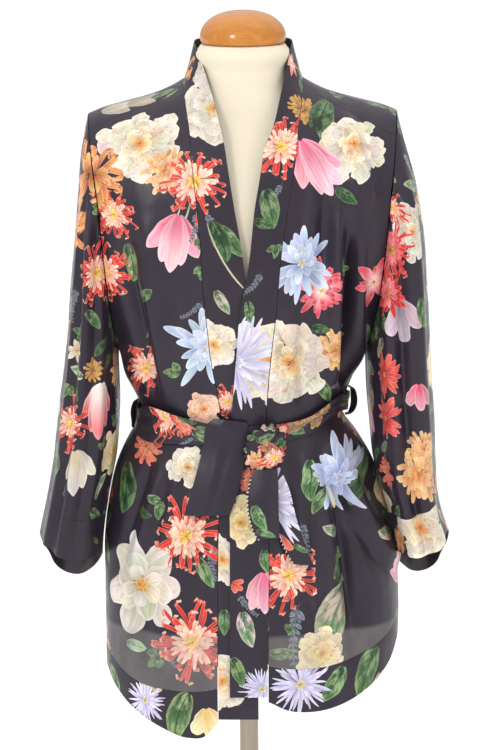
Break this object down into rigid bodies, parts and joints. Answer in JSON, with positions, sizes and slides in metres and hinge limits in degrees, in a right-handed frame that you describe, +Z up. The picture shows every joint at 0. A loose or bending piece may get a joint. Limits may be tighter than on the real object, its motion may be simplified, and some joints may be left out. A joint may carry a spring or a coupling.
{
  "type": "kimono on a dress form",
  "caption": "Short navy satin kimono jacket with a flower print, tied at the waist, on a cream dress form with a wooden cap and a chrome pole.",
  "frame": {"origin": "middle of the underside of the stand's base", "axes": "+Z up; the jacket's front faces -Y; +X is the wearer's left"},
  "size_m": [0.5373, 0.31, 1.5365],
  "materials": {
    "back_satin": "printed satin",
    "front_left_satin": "printed satin",
    "front_right_satin": "printed satin",
    "hem_back_satin": "printed satin",
    "hem_left_satin": "printed satin",
    "hem_right_satin": "printed satin",
    "neckband_left_satin": "printed satin",
    "neckband_right_satin": "printed satin",
    "sleeve_left_satin": "printed satin",
    "sleeve_right_satin": "printed satin",
    "cuff_left_satin": "printed satin",
    "cuff_right_satin": "printed satin",
    "belt_wrap_satin": "printed satin",
    "belt_knot_satin": "printed satin",
    "belt_loop_satin": "printed satin",
    "belt_tail_plain_satin": "printed satin",
    "belt_tail_printed_satin": "printed satin",
    "belt_carrier_left_satin": "printed satin",
    "belt_carrier_right_satin": "printed satin",
    "linen_cover": "matt cream cover",
    "turned_wood": "glossy clear lacquer",
    "chrome_pole": "polished",
    "chrome_base": "polished"
  },
  "bodies": {
    "root": {"back": "back_satin", "front_left": "front_left_satin", "front_right": "front_right_satin", "hem_back": "hem_back_satin", "hem_left": "hem_left_satin", "hem_right": "hem_right_satin", "neckband_left": "neckband_left_satin", "neckband_right": "neckband_right_satin", "sleeve_left": "sleeve_left_satin", "sleeve_right": "sleeve_right_satin", "cuff_left": "cuff_left_satin", "cuff_right": "cuff_right_satin", "belt_wrap": "belt_wrap_satin", "belt_knot": "belt_knot_satin", "belt_loop": "belt_loop_satin", "belt_tail_plain": "belt_tail_plain_satin", "belt_tail_printed": "belt_tail_printed_satin", "belt_carrier_left": "belt_carrier_left_satin", "belt_carrier_right": "belt_carrier_right_satin", "form_torso": "linen_cover", "form_neck_cap": "turned_wood", "form_pole": "chrome_pole", "form_base": "chrome_base"}
  },
  "joints": []
}
